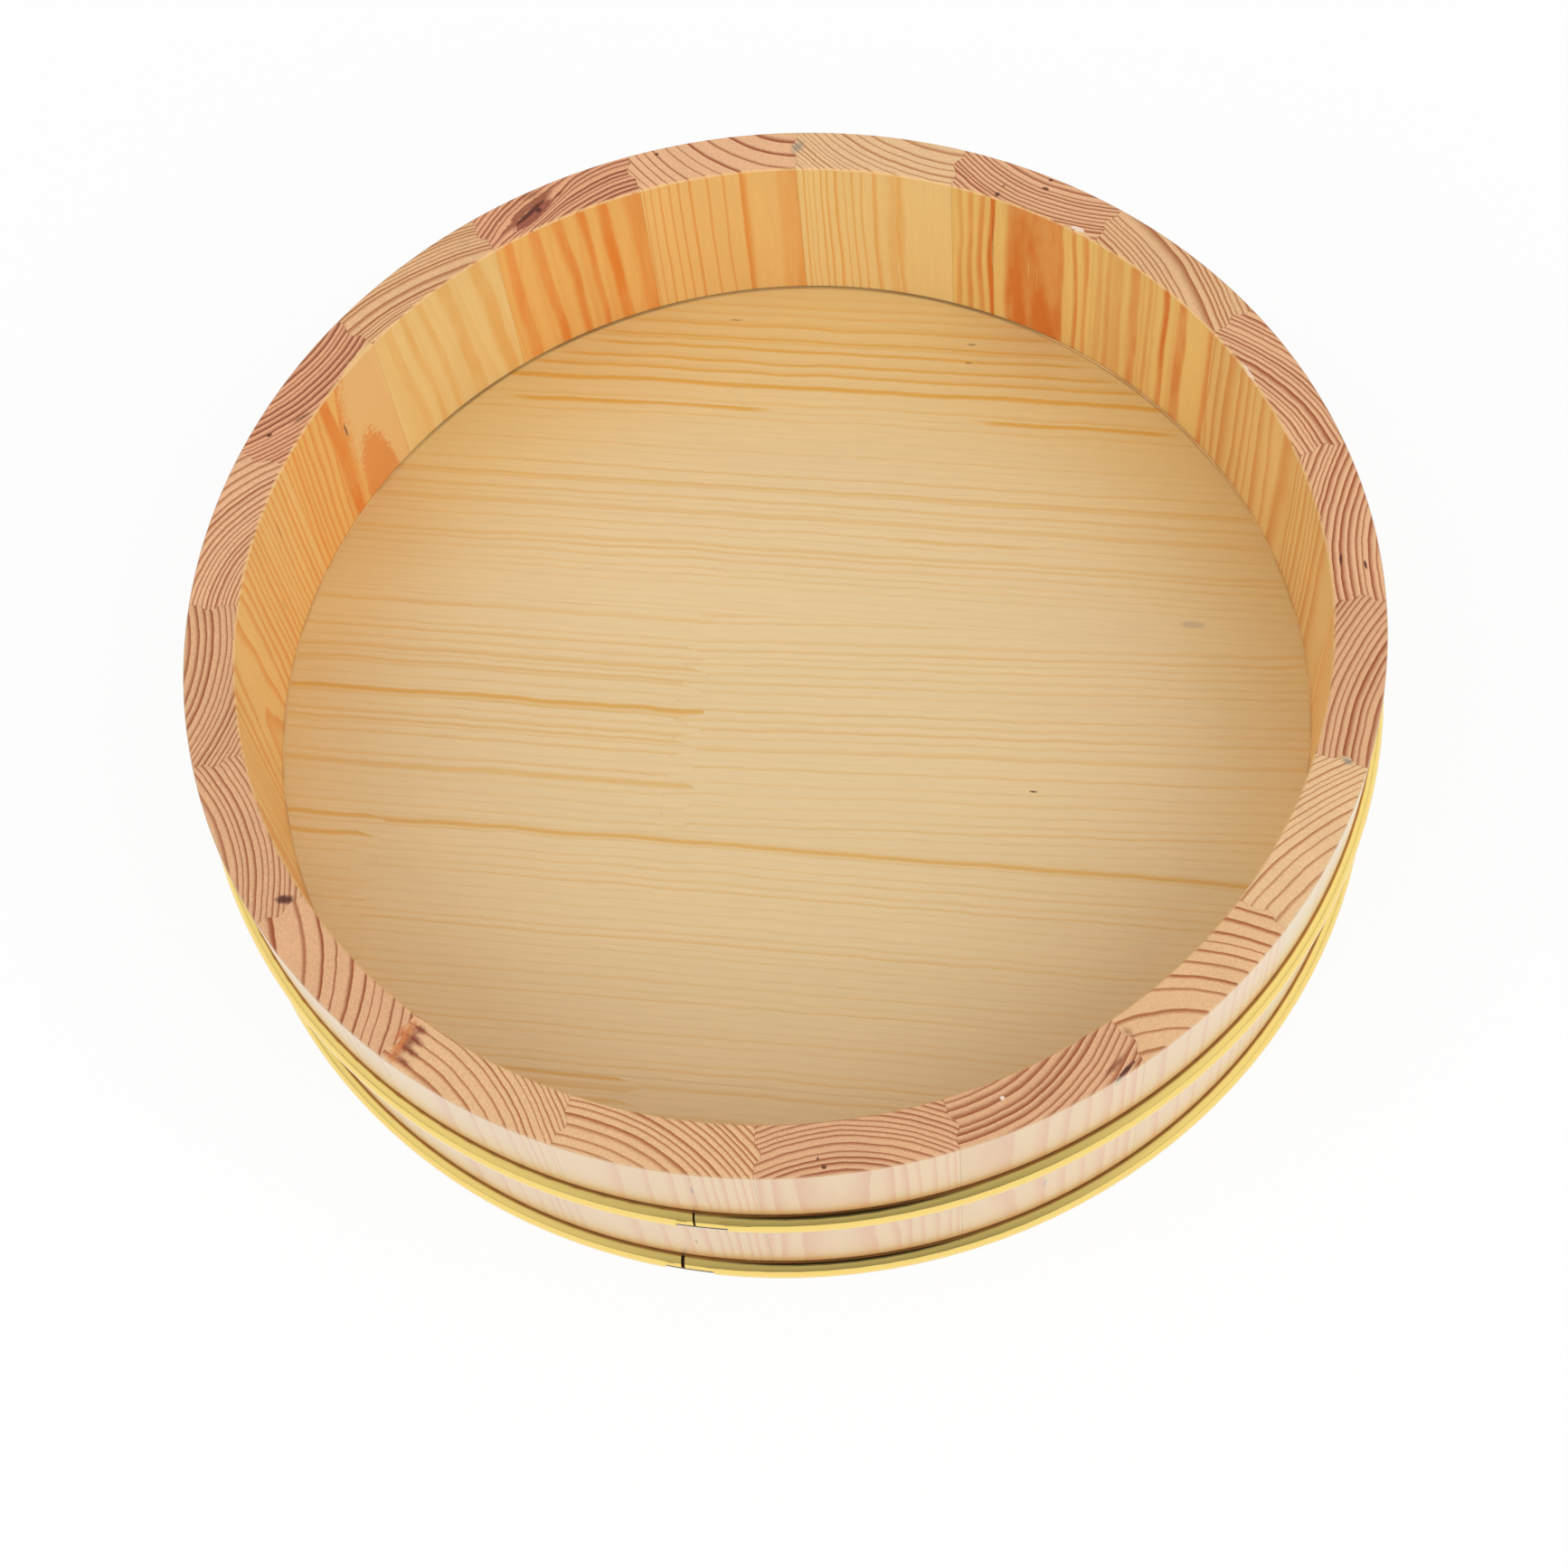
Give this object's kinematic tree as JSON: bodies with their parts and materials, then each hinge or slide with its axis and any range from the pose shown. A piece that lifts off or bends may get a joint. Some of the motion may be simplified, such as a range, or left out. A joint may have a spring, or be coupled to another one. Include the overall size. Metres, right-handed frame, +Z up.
{
  "type": "wooden sushi rice tub",
  "caption": "Wide, low round wooden tub of upright tongue-and-groove staves round a flat board floor, held by half-round brass hoops, for cooling and dressing sushi rice.",
  "frame": {"origin": "centre of the tub's base, on the plane that its foot stands on", "axes": "+Z up along the tub's axis, -Y towards the side that faces the viewer in the picture, +X to the viewer's right"},
  "size_m": [0.3364, 0.3364, 0.08],
  "materials": {
    "stave_wood": "clear satin lacquer, bare end grain on the rim",
    "floor_wood": "clear satin lacquer",
    "hoop_metal": "polished",
    "clip_metal": "dull, darkened"
  },
  "bodies": {
    "root": {"stave_01": "stave_wood", "stave_02": "stave_wood", "stave_03": "stave_wood", "stave_04": "stave_wood", "stave_05": "stave_wood", "stave_06": "stave_wood", "stave_07": "stave_wood", "stave_08": "stave_wood", "stave_09": "stave_wood", "stave_10": "stave_wood", "stave_11": "stave_wood", "stave_12": "stave_wood", "stave_13": "stave_wood", "stave_14": "stave_wood", "stave_15": "stave_wood", "stave_16": "stave_wood", "stave_17": "stave_wood", "stave_18": "stave_wood", "stave_19": "stave_wood", "stave_20": "stave_wood", "floor_back": "floor_wood", "floor_far": "floor_wood", "floor_middle_left": "floor_wood", "floor_middle_right": "floor_wood", "floor_near_left": "floor_wood", "floor_near_right": "floor_wood", "floor_front_left": "floor_wood", "floor_front_right": "floor_wood", "upper_hoop": "hoop_metal", "lower_hoop": "hoop_metal", "upper_clip": "clip_metal", "lower_clip": "clip_metal"}
  },
  "joints": []
}
